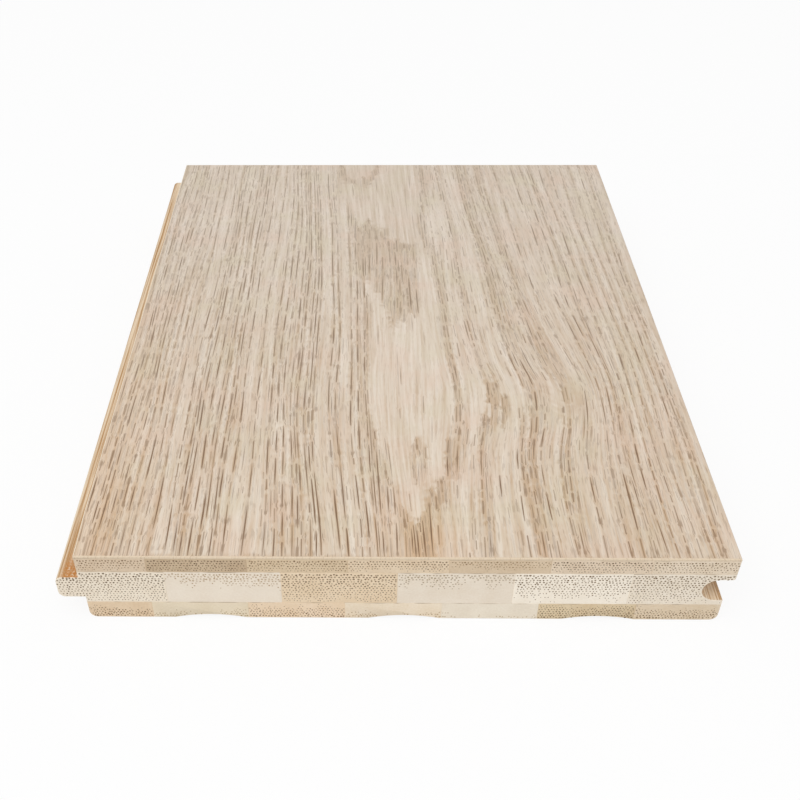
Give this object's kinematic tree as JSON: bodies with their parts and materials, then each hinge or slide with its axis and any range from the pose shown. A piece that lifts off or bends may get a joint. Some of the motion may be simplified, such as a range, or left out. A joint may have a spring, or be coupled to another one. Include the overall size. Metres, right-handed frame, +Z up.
{
  "type": "bamboo floorboard",
  "caption": "Short length of tongue-and-groove flooring: glued plies of flat bamboo slats under a thin brushed oak face, with relief grooves along the underside.",
  "frame": {"origin": "on the underside, below the middle of the whole board with its tongue", "axes": "+Y along the length and the grain, +Z up through the face, tongue on -X and groove on +X"},
  "size_m": [0.114, 0.14, 0.0155],
  "materials": {
    "oak_face": "brushed oak veneer, pale matt finish",
    "bamboo_top": "sawn and planed bamboo, tan",
    "bamboo_core": "sawn and planed bamboo, pale cream",
    "bamboo_bottom": "sawn and planed bamboo, warm tan"
  },
  "bodies": {
    "root": {"face_veneer": "oak_face", "top_slat_1": "bamboo_top", "top_slat_2": "bamboo_top", "top_slat_3": "bamboo_top", "top_slat_4": "bamboo_top", "top_slat_5": "bamboo_top", "top_slat_6": "bamboo_top", "top_slat_7": "bamboo_top", "core_slat_1": "bamboo_core", "core_slat_2": "bamboo_core", "core_slat_3": "bamboo_core", "core_slat_4": "bamboo_core", "core_slat_5": "bamboo_core", "core_slat_6": "bamboo_core", "bottom_slat_1": "bamboo_bottom", "bottom_slat_2": "bamboo_bottom", "bottom_slat_3": "bamboo_bottom", "bottom_slat_4": "bamboo_bottom", "bottom_slat_5": "bamboo_bottom", "bottom_slat_6": "bamboo_bottom", "bottom_slat_7": "bamboo_bottom"}
  },
  "joints": []
}
